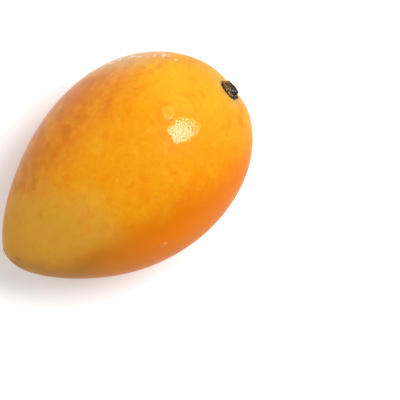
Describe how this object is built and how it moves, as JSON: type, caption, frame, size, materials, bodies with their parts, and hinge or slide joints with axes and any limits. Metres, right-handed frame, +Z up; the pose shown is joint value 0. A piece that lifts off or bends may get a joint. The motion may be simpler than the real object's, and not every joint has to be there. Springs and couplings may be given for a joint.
{
  "type": "mango",
  "caption": "Whole ripe mango lying on its cheek on a small flat spot, egg shaped with a fuller stem end, a slight beak at the apex and a dried stalk stump in a shallow basin.",
  "frame": {"origin": "centre of the small flat spot that the fruit rests on", "axes": "+X along the fruit towards the stem end, +Y towards its back, the side away from the small hollow beside the beak, +Z up; the long axis rises 5.5 degrees towards the stem"},
  "size_m": [0.1182, 0.081, 0.0702],
  "materials": {
    "mango_skin": "smooth waxy fruit skin, satin with wet spots",
    "dried_stalk": "rough dried bark"
  },
  "bodies": {
    "root": {"fruit": "mango_skin", "stem_stub": "dried_stalk"}
  },
  "joints": []
}
